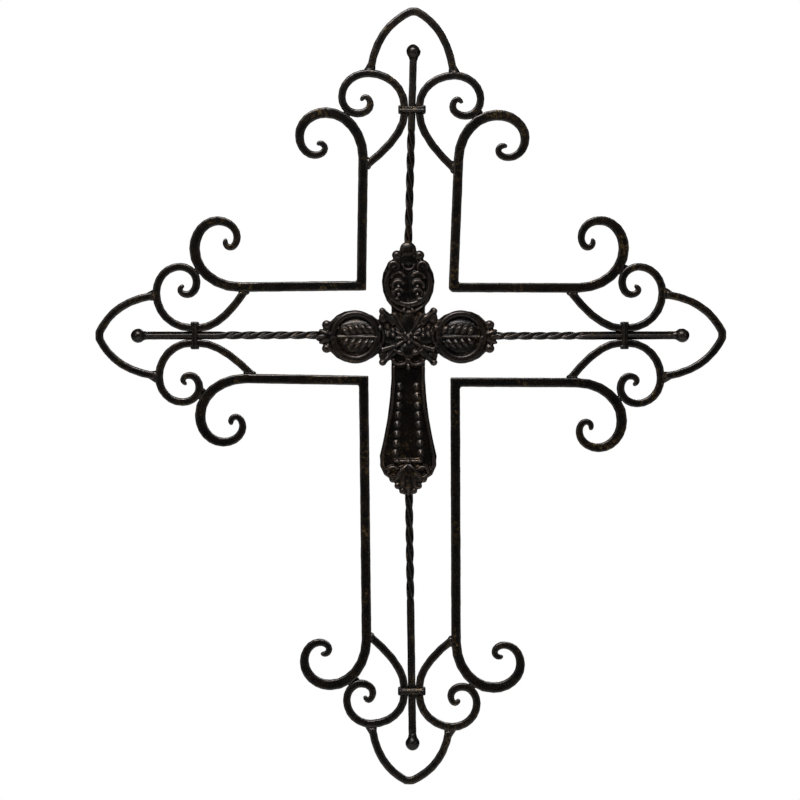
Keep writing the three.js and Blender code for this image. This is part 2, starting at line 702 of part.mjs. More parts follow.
const cross = new THREE.Group();
ARMS.forEach((arm, index) => {
  const next = ARMS[(index + 1) % ARMS.length];
  const group = new THREE.Group();
  group.rotation.y = radians(arm.turn);
  group.add(piece(`rod_${arm.name}`, rodGeometry(arm)));
  group.add(piece(`ball_${arm.name}`, ballGeometry(arm)));
  group.add(piece(`collar_${arm.name}`, collarGeometry(arm)));
  group.add(piece(`arch_${arm.name}`, archGeometry(arm)));
  arm.sides.forEach((side, sideIndex) => {
    const sign = sideIndex === 0 ? -1 : 1;
    const line = onSide(scrollLine(arm, side, sign), sign);
    group.add(piece(`scroll_${arm.name}_${side.name}`, barGeometry(line, SCROLL_BAR)));
  });
  cross.add(group);
  cross.add(piece(`frame_${CORNERS[index].name}`, frameAngle(CORNERS[index], arm, next)));
});
cross.add(piece("medallion", medallionGeometry()));

// The hanging seat is the inner face of the top arch's flat apex
const seatAlong = ARMS[0].collar + ARMS[0].archReach - SCROLL_BAR;
cross.position.set(-ARMS[0].archOffset, 0, -seatAlong);

const part = new THREE.Group();
part.add(cross);

export default part;
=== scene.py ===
"""Wrought iron wall cross: forged square bar in scrolls, twisted rods, collars and a cast medallion."""
import math
import random

import bmesh
import bpy
from mathutils import Matrix, Vector
from mathutils.bvhtree import BVHTree


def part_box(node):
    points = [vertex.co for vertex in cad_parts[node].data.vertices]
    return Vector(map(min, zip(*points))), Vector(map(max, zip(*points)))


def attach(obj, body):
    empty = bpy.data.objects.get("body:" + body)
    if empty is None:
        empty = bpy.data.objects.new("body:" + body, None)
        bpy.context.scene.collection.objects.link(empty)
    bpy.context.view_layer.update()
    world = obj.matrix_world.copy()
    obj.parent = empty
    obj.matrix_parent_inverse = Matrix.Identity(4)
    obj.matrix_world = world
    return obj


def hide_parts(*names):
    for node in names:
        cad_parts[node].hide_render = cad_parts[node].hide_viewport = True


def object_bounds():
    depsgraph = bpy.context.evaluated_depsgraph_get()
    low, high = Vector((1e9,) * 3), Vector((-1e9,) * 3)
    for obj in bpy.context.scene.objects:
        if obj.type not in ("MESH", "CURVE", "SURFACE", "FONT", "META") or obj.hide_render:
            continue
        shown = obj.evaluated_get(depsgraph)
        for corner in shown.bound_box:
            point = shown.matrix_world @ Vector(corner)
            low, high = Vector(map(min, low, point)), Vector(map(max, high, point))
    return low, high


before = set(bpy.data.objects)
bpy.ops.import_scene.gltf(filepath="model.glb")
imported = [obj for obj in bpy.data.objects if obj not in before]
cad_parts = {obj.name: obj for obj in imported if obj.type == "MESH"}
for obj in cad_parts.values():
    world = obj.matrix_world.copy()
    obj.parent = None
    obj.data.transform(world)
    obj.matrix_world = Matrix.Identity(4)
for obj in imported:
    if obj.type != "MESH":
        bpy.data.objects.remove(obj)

CAD_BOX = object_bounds()
MM = 0.001

# Copies of CAD solids: corners this near are merged, triangles this flat to each other are paired, and edges
# sharper than this are the bar's corners
MERGE_GAP = 0.01 * MM
FLAT_ANGLE = math.radians(3)
CORNER_ANGLE = math.radians(50)

# Bars: softened edges, the marks of the hammer, and the level above which those stand proud of the solid
SOFT_EDGE = 1.0 * MM
BAR_VOXEL = 1.2 * MM
BAR_SMOOTHING = 4
BAR_LEVEL = 0.1
HAMMER_WAVE = 11 * MM
HAMMER_DEPTH = 0.5 * MM
SCALE_WAVE = 3 * MM
SCALE_DEPTH = 0.16 * MM

# Rods: section, softened edges, distance of the rings that take the twist, groove down each twisted face, and
# each arm's twist: its start from the rod's inner end, its length and its quarter turns
ROD_SECTION = 7.4 * MM
ROD_EDGE = 1.5 * MM
ROD_RING = 3 * MM
GROOVE_SIDE = 1.2 * MM
GROOVE_DEPTH = 0.7 * MM
TWIST_START = 24 * MM
TWISTS = {"top": (125 * MM, 6), "right": (95 * MM, 6), "bottom": (119 * MM, 6), "left": (106 * MM, 6)}

# Balls: radius, share of it below which the neck is drawn, and the neck's draws with their narrowing
BALL_RADIUS = 8 * MM
NECK_FROM = -0.74
NECK_DRAWS = ((-1 * MM, 0.96), (-2 * MM, 0.86), (-2.4 * MM, 0.84))

# Collars: the strap's share of the length and of the depth, its inset and corner, then the lip and the ends
STRAP_LENGTH = 0.78
STRAP_DEPTH = 0.96
STRAP_INSET = 1 * MM
STRAP_CORNER = 1.6 * MM
COLLAR_LIP = 1.5 * MM
LIP_DROP = 0.9 * MM
LIP_DEPTH = 1.08
LIP_INSET = 3 * MM
LIP_CORNER = 0.6 * MM
COLLAR_END = 4.6 * MM
END_CORNER = 1.5 * MM
COLLAR_VOXEL = 0.5 * MM

SIDES = (-1, 1)

# Middle of the medallion, on its plate's face, in millimetres
MEDAL_CENTRE = Vector((-6.3, -7.3, -353.8))

# The four arms, as the way each runs from the crossing
ARMS = {
    "top": Vector((0, 0, 1)),
    "right": Vector((1, 0, 0)),
    "bottom": Vector((0, 0, -1)),
    "left": Vector((-1, 0, 0)),
}


def work_on(obj):
    """Only this object is selected and active."""
    bpy.ops.object.select_all(action="DESELECT")
    obj.select_set(True)
    bpy.context.view_layer.objects.active = obj
    return obj


def open_edit(obj, mode="EDGE"):
    """Opens an object's mesh in edit mode with nothing selected."""
    work_on(obj)
    bpy.ops.object.mode_set(mode="EDIT")
    bpy.ops.mesh.select_mode(type=mode)
    bpy.ops.mesh.select_all(action="DESELECT")


def close_edit():
    bpy.ops.object.mode_set(mode="OBJECT")


def pick(obj, kind, wanted):
    """Selects just those edges or faces of the open mesh that pass a test."""
    bpy.ops.mesh.select_all(action="DESELECT")
    mesh = bmesh.from_edit_mesh(obj.data)
    for item in getattr(mesh, kind):
        if wanted(item):
            item.select_set(True)
    bmesh.update_edit_mesh(obj.data)


def pick_edges(obj, wanted):
    pick(obj, "edges", wanted)


def pick_faces(obj, wanted):
    pick(obj, "faces", wanted)


def apply_modifier(obj, kind, **settings):
    """Adds a modifier with these settings and applies it."""
    work_on(obj)
    modifier = obj.modifiers.new(kind.title(), kind)
    for key, value in settings.items():
        setattr(modifier, key, value)
    bpy.ops.object.modifier_apply(modifier=modifier.name)


def settle(obj):
    """Puts an object's place, turn and size into its mesh."""
    work_on(obj)
    bpy.ops.object.transform_apply(location=True, rotation=True, scale=True)


def join(objects, name):
    """Joins objects into one of this name."""
    work_on(objects[0])
    for obj in objects[1:]:
        obj.select_set(True)
    bpy.ops.object.join()
    joined = bpy.context.object
    joined.name = name
    joined.data.name = name
    return joined


def copy_of(model, name):
    """A copy of a model, with a mesh of its own."""
    obj = model.copy()
    obj.data = model.data.copy()
    obj.name = name
    obj.data.name = name
    bpy.context.collection.objects.link(obj)
    return obj


def clouds(wave):
    texture = bpy.data.textures.new("hammer", "CLOUDS")
    texture.noise_scale = wave
    texture.noise_depth = 1
    return texture


HAMMER = clouds(HAMMER_WAVE)
SCALE = clouds(SCALE_WAVE)


def hammer(obj, share=1.0, level=0.5):
    """The uneven face that forging leaves: broad hammer marks and finer fire scale."""
    for texture, depth in ((HAMMER, HAMMER_DEPTH), (SCALE, SCALE_DEPTH)):
        apply_modifier(
            obj, "DISPLACE", texture=texture, texture_coords="LOCAL", strength=depth * share, mid_level=level
        )


def finish_piece(obj, slot, material, *nodes):
    """Smooths a piece's shading, dresses it, and lets it stand for its CAD nodes."""
    work_on(obj)
    bpy.ops.object.shade_smooth()
    obj.data.materials.clear()
    obj.data.materials.append(material)
    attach(obj, "root")
    if nodes:
        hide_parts(*nodes)
    return obj


# Forged bars: frame angles, C-scrolls and arches

def is_corner_edge(edge):
    return len(edge.link_faces) == 2 and edge.calc_face_angle() > CORNER_ANGLE


def copy_of_node(node, name):
    """A copy of a CAD solid with a mesh of its own, its doubled corners merged and its triangles paired."""
    obj = bpy.data.objects.new(name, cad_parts[node].data.copy())
    bpy.context.collection.objects.link(obj)
    open_edit(obj)
    bpy.ops.mesh.select_all(action="SELECT")
    bpy.ops.mesh.remove_doubles(threshold=MERGE_GAP)
    bpy.ops.mesh.tris_convert_to_quads(face_threshold=FLAT_ANGLE, shape_threshold=math.pi)
    close_edit()
    return obj


def remesh(obj, voxel, smoothing):
    """An even mesh over all of an object's shells, its steps smoothed away."""
    apply_modifier(obj, "REMESH", mode="VOXEL", voxel_size=voxel)
    apply_modifier(obj, "SMOOTH", factor=0.5, iterations=smoothing)


def forge_bar(node, material):
    """A bar with softened edges and hammered faces, along the line of its CAD solid."""
    obj = copy_of_node(node, "forged_" + node)
    open_edit(obj)
    pick_edges(obj, is_corner_edge)
    bpy.ops.mesh.bevel(offset=SOFT_EDGE, segments=2, profile=0.5, clamp_overlap=True)
    close_edit()
    remesh(obj, BAR_VOXEL, BAR_SMOOTHING)
    hammer(obj, level=BAR_LEVEL)
    return finish_piece(obj, "forged_bar", material, node)


# Rods, balls and collars

def node_ends(node, arm):
    """Middle of a node's inner end and of its outer end along its arm."""
    way = ARMS[arm]
    places = [corner.co.copy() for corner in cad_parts[node].data.vertices]
    reach = [place.dot(way) for place in places]
    ends = []
    for limit in (min(reach), max(reach)):
        near = [place for place, at in zip(places, reach) if abs(at - limit) < 0.5 * MM]
        ends.append(sum(near, Vector()) / len(near))
    return ends


def lay_along(obj, start, end):
    """Turns an object that was made along +Z from the origin so that it runs from start towards end."""
    run = (end - start).normalized()
    across = Vector((0, 1, 0)).cross(run).normalized()
    depth = run.cross(across)
    obj.matrix_world = Matrix.Translation(start) @ Matrix((across, depth, run)).transposed().to_4x4()
    settle(obj)


def make_rod(arm, material):
    """Square rod with softened edges, twisted to the left next to the medallion."""
    node = "rod_" + arm
    start, end = node_ends(node, arm)
    length = (end - start).length
    bpy.ops.object.select_all(action="DESELECT")
    bpy.ops.mesh.primitive_cube_add(size=1, location=(0, 0, length / 2))
    rod = bpy.context.object
    rod.name = "forged_" + node
    rod.scale = (ROD_SECTION, ROD_SECTION, length)
    settle(rod)

    def runs_along(edge):
        return abs((edge.verts[0].co - edge.verts[1].co).z) > length / 2

    open_edit(rod)
    pick_edges(rod, runs_along)
    bpy.ops.mesh.bevel(offset=ROD_EDGE, segments=3, profile=0.5)
    pick_edges(rod, runs_along)
    bpy.ops.mesh.subdivide(number_cuts=round(length / ROD_RING))
    twist, quarters = TWISTS[arm]
    pick_faces(
        rod, lambda face: abs(face.normal.z) < 0.1 and max(abs(face.normal.x), abs(face.normal.y)) > 0.99
        and TWIST_START < face.calc_center_median().z < TWIST_START + twist
    )
    bpy.ops.mesh.inset(thickness=GROOVE_SIDE, depth=-GROOVE_DEPTH)
    close_edit()
    apply_modifier(
        rod, "SIMPLE_DEFORM", deform_method="TWIST", deform_axis="Z", angle=-quarters * math.pi / 2,
        limits=(TWIST_START / length, (TWIST_START + twist) / length),
    )
    apply_modifier(rod, "SUBSURF", levels=1, render_levels=1)
    lay_along(rod, start, end)
    hammer(rod, 0.8)
    return finish_piece(rod, "forged_bar", material, node)


def model_ball():
    """Forged ball with a neck drawn out below it, to be copied for each rod's end."""
    bpy.ops.object.select_all(action="DESELECT")
    bpy.ops.mesh.primitive_uv_sphere_add(segments=24, ring_count=14, radius=BALL_RADIUS)
    ball = bpy.context.object
    open_edit(ball, "FACE")
    pick_faces(ball, lambda face: face.calc_center_median().z < NECK_FROM * BALL_RADIUS)
    for drop, size in NECK_DRAWS:
        bpy.ops.mesh.extrude_region_move(TRANSFORM_OT_translate={"value": (0, 0, drop)})
        bpy.ops.transform.resize(value=(size, size, 0.3), center_override=(0, 0, drop - BALL_RADIUS))
    close_edit()
    apply_modifier(ball, "SUBSURF", levels=1, render_levels=1)
    return ball


def set_ball(model, arm, material):
    """A copy of the ball, its neck over the rod's end."""
    node = "ball_" + arm
    rod_end = node_ends("rod_" + arm, arm)[1]
    low, high = (Vector(corner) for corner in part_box(node))
    tip = max(abs((corner - rod_end).dot(ARMS[arm])) for corner in (low, high))
    centre = (low + high) / 2
    centre += ARMS[arm] * ((rod_end - centre).dot(ARMS[arm]) + tip - BALL_RADIUS)
    ball = copy_of(model, "forged_" + node)
    lay_along(ball, centre, centre + ARMS[arm])
    hammer(ball, 1.2)
    return finish_piece(ball, "forged_bar", material, node)


def band(middle, size, corner):
    """A block with rounded corners, as one part of a collar."""
    bpy.ops.object.select_all(action="DESELECT")
    bpy.ops.mesh.primitive_cube_add(size=1, location=middle)
    block = bpy.context.object
    block.scale = size
    settle(block)
    open_edit(block)
    bpy.ops.mesh.select_all(action="SELECT")
    bpy.ops.mesh.bevel(offset=corner, segments=4, profile=0.5)
    close_edit()
    return block


def model_collar():
    """Collar: a strap closed round the rod and two C-scrolls, with thickened ends and a thin raised lip.

    It is made about the origin as on an arm that runs along +Z, to be copied for each arm.
    """
    low, high = (Vector(corner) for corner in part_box("collar_top"))
    width, deep, length = high - low
    parts = [
        band((0, 0, 0), (width - STRAP_INSET, deep * STRAP_DEPTH, length * STRAP_LENGTH), STRAP_CORNER),
        band((0, 0, -LIP_DROP), (width - LIP_INSET, deep * LIP_DEPTH, COLLAR_LIP), LIP_CORNER),
    ]
    for side in SIDES:
        parts.append(band((side * (width - COLLAR_END) / 2, 0, 0), (COLLAR_END, deep, length), END_CORNER))
    return join(parts, "collar_model")


def set_collar(model, arm, material):
    """A copy of the collar round its arm's rod and C-scrolls."""
    node = "collar_" + arm
    low, high = (Vector(corner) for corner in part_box(node))
    middle = (low + high) / 2
    collar = copy_of(model, "forged_" + node)
    lay_along(collar, middle, middle + ARMS[arm])
    remesh(collar, COLLAR_VOXEL, 1)
    hammer(collar, 0.8)
    return finish_piece(collar, "forged_bar", material, node)


def model_oval():
    """The round that weld beads, bosses, petals and leaflets are copies of, one metre in radius."""
    bpy.ops.object.select_all(action="DESELECT")
    bpy.ops.mesh.primitive_uv_sphere_add(segments=24, ring_count=14, radius=1)
    return bpy.context.object


OVAL = model_oval()


# Welds: lumps wherever two forged bars meet, and behind the medallion on each rod's inner end

WELD_GAP = 2.2 * MM
WELD_APART = 14 * MM
WELD_VOXEL = 0.8 * MM

# Lumps where scrolls touch, the weld along a frame's leg at a C-scroll's root, and a rod's end: half sizes
LUMP_LEAST = 3.2 * MM
LUMP_MOST = 4.2 * MM
LUMP_DEEP = 4.0 * MM
ROOT_BEAD = 3.5 * MM
ROOT_DEEP = 4.6 * MM
ROOT_LEAST = 5.4 * MM
ROOT_MOST = 6.8 * MM
ROD_WELD = 6 * MM
ROD_WELD_DEEP = 4.6 * MM

# The flare round an arch's foot: its foot and its top, how deep and long it is, and the share of it sunk
ARCH_FLARE = 7.4 * MM
FLARE_TOP = 3.6 * MM
FLARE_DEEP = 4.8 * MM
FLARE_LENGTH = 12 * MM
FLARE_SINK = 0.18


def meeting_places(bar, partner):
    """Middle and half length of each patch of a bar that comes within a weld's gap of another."""
    tree = BVHTree.FromPolygons(
        [corner.co for corner in partner.data.vertices], [face.vertices for face in partner.data.polygons]
    )
    close = [
        corner.co.copy() for corner in bar.data.vertices
        if tree.find_nearest(corner.co, WELD_GAP)[0] is not None
    ]
    patches = []
    for place in close:
        for patch in patches:
            if (patch[0] - place).length < WELD_APART:
                patch.append(place)
                break
        else:
            patches.append([place])
    found = []
    for patch in patches:
        middle = sum(patch, Vector()) / len(patch)
        reach = max(((place - middle) * Vector((1, 0, 1))).length for place in patch)
        found.append((middle, reach))
    return found


def lump(middle, across, deep, luck):
    """One uneven weld bead."""
    bead = copy_of(OVAL, "bead")
    bead.location = middle
    bead.scale = (across * luck.uniform(0.92, 1.1), deep, across * luck.uniform(0.92, 1.1))
    bead.rotation_euler.y = luck.uniform(0, math.pi)
    settle(bead)
    return bead


def bar_beside(middle, bar):
    """Middle of a bar's part round a place, and of its part a little further on."""
    rings = []
    for nearest, furthest in ((0, 0.6 * FLARE_LENGTH), (FLARE_LENGTH, 1.6 * FLARE_LENGTH)):
        beside = [
            corner.co for corner in bar.data.vertices if nearest <= (corner.co - middle).length < furthest
        ]
        rings.append(sum(beside, Vector()) / len(beside))
    return rings


def skirt(middle, bar, foot, luck):
    """The flare that a weld builds up round a bar's end, drawn out along the bar."""
    near, far = bar_beside(middle, bar)
    way = (far - near).normalized()
    start = near - way * ((near - middle).dot(way) - FLARE_LENGTH * FLARE_SINK)
    bpy.ops.object.select_all(action="DESELECT")
    bpy.ops.mesh.primitive_cone_add(
        vertices=24, radius1=foot * luck.uniform(0.94, 1.06), radius2=FLARE_TOP, depth=FLARE_LENGTH
    )
    flare = bpy.context.object
    flare.scale.y = FLARE_DEEP / foot
    settle(flare)
    lay_along(flare, start, start + way)
    return flare


def root_bead(middle, reach, arm, luck):
    """The weld along a frame's leg at a C-scroll's root."""
    bead = copy_of(OVAL, "bead")
    along = min(max(reach, ROOT_LEAST), ROOT_MOST) * luck.uniform(0.94, 1.1)
    bead.scale = (ROOT_BEAD * luck.uniform(0.95, 1.15), ROOT_DEEP, along)
    settle(bead)
    lay_along(bead, middle, middle + ARMS[arm])
    return bead


def scroll_welds(name, bar, partner, luck):
    """A bead at a C-scroll's root, the meeting place nearest to the crossing, and lumps at its others."""
    places = meeting_places(bar, partner)
    places.sort(key=lambda place: (place[0] - MEDAL_CENTRE * MM).length)
    beads = []
    for middle, reach in places[1:]:
        across = min(max(reach * 0.5 + 1.4 * MM, LUMP_LEAST), LUMP_MOST)
        beads.append(lump(middle, across, LUMP_DEEP, luck))
    for middle, reach in places[:1]:
        beads.append(root_bead(middle, reach, name.split("_")[1], luck))
    return beads


def make_welds(bars, material):
    """All the welds, as one piece. They stand for no CAD solid."""
    luck = random.Random(7)
    beads = []
    for name, bar in bars.items():
        for other, partner in bars.items():
            if name.startswith("arch_") and other.startswith("scroll_"):
                beads += [
                    skirt(middle, bar, ARCH_FLARE, luck) for middle, reach in meeting_places(bar, partner)
                ]
            if name.startswith("scroll_") and other.startswith("frame_"):
                beads += scroll_welds(name, bar, partner, luck)
    for arm in ARMS:
        inner = node_ends("rod_" + arm, arm)[0]
        beads.append(lump(inner, ROD_WELD, ROD_WELD_DEEP, luck))
    welds = join(beads, "welds")
    remesh(welds, WELD_VOXEL, 2)
    hammer(welds, 1.4)
    return finish_piece(welds, "forged_bar", material)


# Medallion: relief over its cast plate. Places are in millimetres to the right of its centre and above it,
# heights in millimetres out of the plate's face

PLATE_BITE = 2.6
MEDAL_VOXEL = 0.8 * MM


def set_in_relief(obj, right, up, height, turn=0.0):
    """Sets a shape made flat about the origin on the plate, that far out of it and turned so many degrees."""
    settle(obj)
    half = max(abs(corner.co.y) for corner in obj.data.vertices)
    wanted = (height + PLATE_BITE) / 2
    obj.scale.y = wanted * MM / half
    obj.rotation_euler.y = -math.radians(turn)
    obj.location = (MEDAL_CENTRE + Vector((right, wanted - height, up))) * MM
    settle(obj)
    return obj


def boss(right, up, width, length, height, turn=0.0):
    """A plump oval."""
    obj = copy_of(OVAL, "boss")
    obj.scale = (width / 2 * MM, MM, length / 2 * MM)
    return set_in_relief(obj, right, up, height, turn)


def ring(right, up, radius, thick, height, squash=1.0, kept=()):
    """A rounded rim, or the arc of one that lies on the kept sides of lines through its middle."""
    bpy.ops.object.select_all(action="DESELECT")
    bpy.ops.mesh.primitive_torus_add(
        major_radius=radius * MM, minor_radius=thick * MM, major_segments=48, minor_segments=12,
        rotation=(math.pi / 2, 0, 0),
    )
    obj = bpy.context.object
    obj.scale.y = squash
    settle(obj)
    for turn in kept:
        open_edit(obj)
        bpy.ops.mesh.select_all(action="SELECT")
        way = (-math.sin(math.radians(turn)), 0, math.cos(math.radians(turn)))
        bpy.ops.mesh.bisect(plane_co=(0, 0, 0), plane_no=way, use_fill=True, clear_inner=True)
        close_edit()
    return set_in_relief(obj, right, up, height)


def rib(start, end, first, last, height):
    """A rounded rib between two places, its half widths given at both."""
    run = Vector((end[0] - start[0], end[1] - start[1]))
    bpy.ops.object.select_all(action="DESELECT")
    bpy.ops.mesh.primitive_cone_add(
        vertices=16, radius1=first * MM, radius2=last * MM, depth=run.length * MM,
    )
    turn = math.degrees(math.atan2(-run.x, run.y))
    return set_in_relief(
        bpy.context.object, (start[0] + end[0]) / 2, (start[1] + end[1]) / 2, height, turn
    )


def fan(middle, tips, width, height):
    """Petals that spread from one place, each to its own tip."""
    petals = []
    for tip in tips:
        run = Vector((tip[0] - middle[0], tip[1] - middle[1]))
        turn = math.degrees(math.atan2(-run.x, run.y))
        centre = ((tip[0] + middle[0]) / 2, (tip[1] + middle[1]) / 2)
        petals.append(boss(*centre, width, run.length, height, turn))
    return petals


def mirrored(model, name):
    """A copy of a model, turned over to the other side of the medallion's middle."""
    obj = copy_of(model, name)
    open_edit(obj)
    bpy.ops.mesh.select_all(action="SELECT")
    bpy.ops.transform.resize(value=(-1, 1, 1), center_override=MEDAL_CENTRE * MM)
    bpy.ops.mesh.normals_make_consistent(inside=False)
    close_edit()
    return obj


def crown_middle():
    """The head's middle: its top knob, the dish's ground, a bead at its foot and a loop below the knob."""
    return [
        boss(-0.2, 95.6, 18.6, 17.4, 5.4),
        boss(0, 85, 24, 15, 3.6),
        boss(0.4, 34.2, 5.4, 8.0, 5.6),
        ring(0.4, 79.5, 6.0, 1.6, 4.4, kept=(180,)),
    ]


def crown_side():
    """Half of the head: a heart-shaped rim with a curled end, three brows and a knob of its crown."""
    return [
        ring(0, 58, 24.2, 4.1, 5.4, 0.94, kept=(-118, -89)),
        ring(15.8, 76.5, 4.4, 3.6, 5.4),
        boss(12.5, 89.4, 11, 10.6, 5.0),
        boss(9.5, 57.5, 24, 46, 3.8),
        ring(11.0, 65.0, 6.8, 2.6, 5.4, 0.8, kept=(-8,)),
        ring(10.6, 55.5, 6.4, 2.4, 5.4, 0.9, kept=(-22,)),
        ring(10.2, 46.8, 5.6, 2.3, 5.2, 0.9, kept=(-32,)),
        boss(10.4, 54.6, 5.2, 4.2, 5.0),
        boss(10.2, 46.0, 5.0, 4.0, 4.8),
        boss(12.0, 40.6, 9.6, 6.4, 5.2, 25),
        boss(4.9, 29.4, 6.2, 4.0, 4.6, -30),
    ]


# Each pair of leaflets: how far along the leaf, how far off its rib, and its length
LEAFLETS = ((40.5, 7.6, 13), (47.5, 8.2, 14.5), (54.5, 8.0, 14), (61.5, 7.0, 12.5), (68.5, 5.6, 10))


def leaf_lobe():
    """A side lobe: a broad rim round a leaf of five pairs of leaflets, and a fan with curls at its tip."""
    made = [
        ring(58, -0.3, 25.0, 3.9, 5.0, 1.02),
        ring(58, -0.3, 24.0, 4.9, 5.4, 1.02, kept=(180,)),
        boss(56.5, -0.3, 55, 36, 3.0),
        rib((36, -0.3), (79, -0.3), 2.0, 1.3, 4.4),
        boss(33.5, -0.3, 6.5, 6.5, 4.8),
    ]
    made += fan((82, 0), ((102, 0), (98, 7.4), (98, -7.4)), 6.4, 4.8)
    for flank in SIDES:
        for along, off, length in LEAFLETS:
            made.append(boss(along, flank * off, 6.2, length, 5.0, -flank * 46))
        made += [
            boss(77, flank * 10.4, 5.2, 5.2, 4.4),
            boss(89.4, flank * 13.0, 10.8, 10.2, 5.0),
            boss(31.2, flank * 8.6, 6.0, 10.4, 4.8, flank * 30),
        ]
    return made


def block_middle():
    """The crossing's middle: a button, the ground between the ribs and a bud above the shaft."""
    return [
        boss(0.6, 0, 5.4, 5.4, 6.4),
        boss(0.6, 16, 17, 24, 3.4),
        boss(0.6, -15.5, 22, 19, 3.6),
        boss(1.0, -6.6, 5.6, 4.6, 5.0),
        boss(0.2, -33, 5.6, 8, 4.8),
    ]


def block_side():
    """Half of the crossing: fanned petals between curved ribs, horns at the corners and a lobed button."""
    made = [
        rib((2.5, 4), (15, 25), 1.5, 2.8, 4.6),
        rib((2.5, -3), (12.5, -9.5), 1.8, 2.3, 5.0),
        rib((12.5, -9.5), (29, -14.8), 2.3, 3.4, 5.0),
        boss(12.5, -9.5, 5, 5, 5.0),
        boss(17, 0.6, 27, 19, 3.2),
        boss(9, 3.4, 12, 3.8, 4.8, 24),
        boss(9, -1.4, 12, 3.8, 4.8, -8),
        boss(16.5, 1.6, 5.4, 4.4, 4.8),
        boss(16.5, 7.6, 5.0, 5.0, 4.6),
        boss(22.5, 2.0, 5.6, 5.0, 4.6),
        boss(22.5, 10.2, 5.4, 5.0, 4.4),
        boss(8.4, -17.8, 11, 7.4, 5.2, 24),
        ring(8.8, -24.6, 7.6, 2.6, 5.0, 0.8, kept=(180,)),
    ]
    for up in SIDES:
        made += [
            rib((14, up * 15), (27.5, up * 27.5), 5.0, 3.0, 4.0),
            boss(28.6, up * 28.6, 7.2, 6.6, 4.8, up * -45),
            boss(27.4, up * 20.8, 10, 12, 3.8),
            boss(3.2, up * 3.0, 6.0, 6.0, 5.4),
        ]
    return made


SHAFT_EDGE = (
    (16.0, -33), (15.8, -52), (17.8, -78), (22.6, -103), (27.8, -131), (28.4, -141), (24.4, -150), (17, -155)
)
FOOT_SCALLOPS = ((16.8, -156.4, 8.4), (11.6, -163.8, 7.6), (6.6, -169.4, 7.0))
BEADS = 8
FIRST_BEAD = Vector((9.4, -54.6))
LAST_BEAD = Vector((13.8, -127.6))


def shaft_middle():
    """The crossbar near the shaft's foot, with its three knobs, and the fluted fan of the foot."""
    made = [rib((-15.5, -136.6), (15.5, -136.6), 2.0, 2.0, 3.6)]
    made += [boss(right, -136.6, 7.4, 5.0, 4.4) for right in (-12, 0.3, 12.6)]
    made += fan((0.3, -140), ((0.3, -172), (-8.5, -167), (9.1, -167), (-16, -158), (16.6, -158)), 7.4, 3.8)
    made.append(boss(0.3, -155, 30, 32, 2.6))
    return made


def shaft_side():
    """Half of the shaft: a rolled edge, a row of soft beads inside it, and the foot's curl and scallops."""
    made = [ring(16.2, -147.5, 5.6, 2.5, 4.4, 0.8, kept=(-20,))]
    for start, end in zip(SHAFT_EDGE, SHAFT_EDGE[1:]):
        made.append(rib(start, end, 2.7, 2.7, 3.0))
        made.append(boss(*end, 5.4, 5.4, 3.0))
    for place in range(BEADS):
        share = place / (BEADS - 1)
        right = FIRST_BEAD.x + (LAST_BEAD.x - FIRST_BEAD.x) * share ** 1.2
        up = FIRST_BEAD.y + (LAST_BEAD.y - FIRST_BEAD.y) * share
        made.append(boss(right, up, 8.4, 7.8, 1.3, 20))
    for right, up, size in FOOT_SCALLOPS:
        made.append(boss(right, up, size, size, 2.6))
    return made


def make_medallion(material):
    """The cast medallion: its relief's right half is modelled once, and the left is a mirrored copy."""
    base = copy_of_node("medallion", "cast_plate")
    right = join(crown_side() + leaf_lobe() + block_side() + shaft_side(), "relief_right")
    left = mirrored(right, "relief_left")
    middle = crown_middle() + block_middle() + shaft_middle()
    medallion = join([base, right, left] + middle, "cast_medallion")
    remesh(medallion, MEDAL_VOXEL, 3)
    hammer(medallion, 0.4)
    return finish_piece(medallion, "cast_medallion", material, "medallion")


# Finishes

def node_of(tree, kind, **inputs):
    """A shader node with some of its inputs set."""
    made = tree.nodes.new(kind)
    for key, value in inputs.items():
        made.inputs[key.replace("_", " ")].default_value = value
    return made


def noise(tree, scale, detail, roughness=0.5):
    made = node_of(tree, "ShaderNodeTexNoise", Scale=scale, Detail=detail, Roughness=roughness)
    coords = tree.nodes.new("ShaderNodeTexCoord")
    tree.links.new(coords.outputs["Object"], made.inputs["Vector"])
    return made


def ramp(tree, factor, stops):
    """A colour ramp over a factor, from pairs of place and grey or colour."""
    made = tree.nodes.new("ShaderNodeValToRGB")
    while len(made.color_ramp.elements) < len(stops):
        made.color_ramp.elements.new(0.5)
    for element, (place, colour) in zip(made.color_ramp.elements, stops):
        element.position = place
        element.color = (*colour, 1) if isinstance(colour, tuple) else (colour, colour, colour, 1)
    tree.links.new(factor, made.inputs["Fac"])
    return made.outputs["Color"]


def mix(tree, factor, first, second):
    made = tree.nodes.new("ShaderNodeMix")
    made.data_type = "RGBA"
    tree.links.new(factor, made.inputs["Factor"])
    for value, socket in ((first, made.inputs["A"]), (second, made.inputs["B"])):
        if isinstance(value, tuple):
            socket.default_value = (*value, 1)
        else:
            tree.links.new(value, socket)
    return made.outputs["Result"]


# Noises, in waves to the metre: brown over black, where gilt lies, the sponge's flecks, and the metal's grain
BROAD_SCALE = 38
PATCH_SCALE = 17
SPONGE_SCALE = 230
GRAIN_SCALE = 900
METALLIC = 0.7


